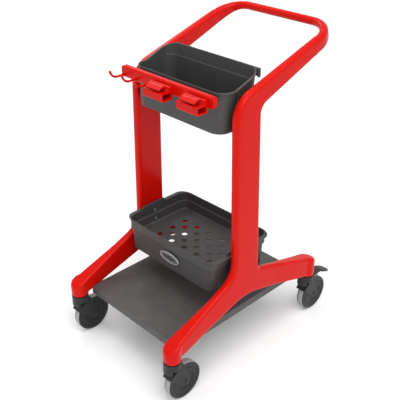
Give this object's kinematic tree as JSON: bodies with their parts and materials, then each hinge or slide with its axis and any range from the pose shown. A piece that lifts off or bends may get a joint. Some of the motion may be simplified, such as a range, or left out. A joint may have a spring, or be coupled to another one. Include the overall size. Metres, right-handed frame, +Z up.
{
  "type": "cleaning and utility cart",
  "caption": "Utility cart on swivel casters with a raised push handle, an open upper tray with a clip rail, a perforated lower basket, a base shelf and foot brakes at the rear",
  "frame": {"origin": "on the floor under the middle of the overall length and width", "axes": "+X to the cart's right seen from its front, +Y to the rear where the handle is, +Z up"},
  "size_m": [0.507, 0.7674, 1.0145],
  "materials": {
    "red_plastic": "glossy red moulded plastic",
    "grey_plastic": "satin dark grey moulded plastic",
    "caster_plastic": "satin charcoal moulded plastic",
    "black_plastic": "matt black plastic",
    "tread": "pale grey non-marking rubber",
    "steel": "bright zinc-plated steel",
    "badge": "grey badge with a pale raised border"
  },
  "bodies": {
    "cart": {"side_frame_left": "red_plastic", "side_frame_right": "red_plastic", "handle_bar": "red_plastic", "shelf_deck": "grey_plastic", "shelf_rib_front": "grey_plastic", "shelf_rib_rear": "grey_plastic", "shelf_bolts": "steel", "upper_tray": "grey_plastic", "tray_rear_flange": "grey_plastic", "tray_bracket_left": "black_plastic", "tray_bracket_right": "black_plastic", "tray_screws": "steel", "tool_rail": "red_plastic", "rail_caps": "red_plastic", "rail_screws": "steel", "rail_hook_1": "red_plastic", "rail_hook_2": "red_plastic", "rail_hook_3": "red_plastic", "clip_body_1": "red_plastic", "clip_pin_1": "steel", "clip_body_2": "red_plastic", "clip_pin_2": "steel", "lower_basket": "grey_plastic", "basket_badge": "badge", "basket_bracket_left": "black_plastic", "basket_bracket_right": "black_plastic", "basket_screws": "steel", "caster_fl_stem": "steel", "caster_fr_stem": "steel", "caster_rl_stem": "steel", "caster_rr_stem": "steel"},
    "swivel_fl": {"caster_fl_fork": "caster_plastic", "caster_fl_bumper": "black_plastic", "caster_fl_axle": "steel"},
    "wheel_fl": {"caster_fl_hub": "caster_plastic", "caster_fl_tyre": "tread"},
    "swivel_fr": {"caster_fr_fork": "caster_plastic", "caster_fr_bumper": "black_plastic", "caster_fr_axle": "steel"},
    "wheel_fr": {"caster_fr_hub": "caster_plastic", "caster_fr_tyre": "tread"},
    "swivel_rl": {"caster_rl_fork": "caster_plastic", "caster_rl_bumper": "black_plastic", "caster_rl_axle": "steel", "brake_pin_rl": "steel"},
    "wheel_rl": {"caster_rl_hub": "caster_plastic", "caster_rl_tyre": "tread"},
    "swivel_rr": {"caster_rr_fork": "caster_plastic", "caster_rr_bumper": "black_plastic", "caster_rr_axle": "steel", "brake_pin_rr": "steel"},
    "wheel_rr": {"caster_rr_hub": "caster_plastic", "caster_rr_tyre": "tread"},
    "pedal_rl": {"brake_pedal_rl": "caster_plastic"},
    "pedal_rr": {"brake_pedal_rr": "caster_plastic"},
    "jaw_1": {"clip_jaw_1": "red_plastic"},
    "jaw_2": {"clip_jaw_2": "red_plastic"}
  },
  "joints": [
    {"name": "swivel_fl_turn", "type": "hinge", "parent": "cart", "child": "swivel_fl", "pos_m": [-0.226, -0.35625, 0.15], "axis": [0, 0, 1], "continuous": true},
    {"name": "wheel_fl_roll", "type": "hinge", "parent": "swivel_fl", "child": "wheel_fl", "pos_m": [-0.226, -0.31725, 0.0625], "axis": [1, 0, 0], "continuous": true},
    {"name": "swivel_fr_turn", "type": "hinge", "parent": "cart", "child": "swivel_fr", "pos_m": [0.226, -0.35625, 0.15], "axis": [0, 0, 1], "continuous": true},
    {"name": "wheel_fr_roll", "type": "hinge", "parent": "swivel_fr", "child": "wheel_fr", "pos_m": [0.226, -0.31725, 0.0625], "axis": [1, 0, 0], "continuous": true},
    {"name": "swivel_rl_turn", "type": "hinge", "parent": "cart", "child": "swivel_rl", "pos_m": [-0.226, 0.26775, 0.15], "axis": [0, 0, 1], "continuous": true},
    {"name": "wheel_rl_roll", "type": "hinge", "parent": "swivel_rl", "child": "wheel_rl", "pos_m": [-0.226, 0.30675, 0.0625], "axis": [1, 0, 0], "continuous": true},
    {"name": "swivel_rr_turn", "type": "hinge", "parent": "cart", "child": "swivel_rr", "pos_m": [0.226, 0.26775, 0.15], "axis": [0, 0, 1], "continuous": true},
    {"name": "wheel_rr_roll", "type": "hinge", "parent": "swivel_rr", "child": "wheel_rr", "pos_m": [0.226, 0.30675, 0.0625], "axis": [1, 0, 0], "continuous": true},
    {"name": "pedal_rl_press", "type": "hinge", "parent": "swivel_rl", "child": "pedal_rl", "pos_m": [-0.226, 0.30175, 0.142], "axis": [1, 0, 0], "range_deg": [-15, 0]},
    {"name": "pedal_rr_press", "type": "hinge", "parent": "swivel_rr", "child": "pedal_rr", "pos_m": [0.226, 0.30175, 0.142], "axis": [1, 0, 0], "range_deg": [-15, 0]},
    {"name": "jaw_1_lift", "type": "hinge", "parent": "cart", "child": "jaw_1", "pos_m": [-0.0175, -0.15725, 0.886], "axis": [-1, 0, 0], "range_deg": [0, 30], "stiffness_Nm_per_rad": 0.05},
    {"name": "jaw_2_lift", "type": "hinge", "parent": "cart", "child": "jaw_2", "pos_m": [0.1205, -0.15725, 0.886], "axis": [-1, 0, 0], "range_deg": [0, 30], "stiffness_Nm_per_rad": 0.05}
  ]
}
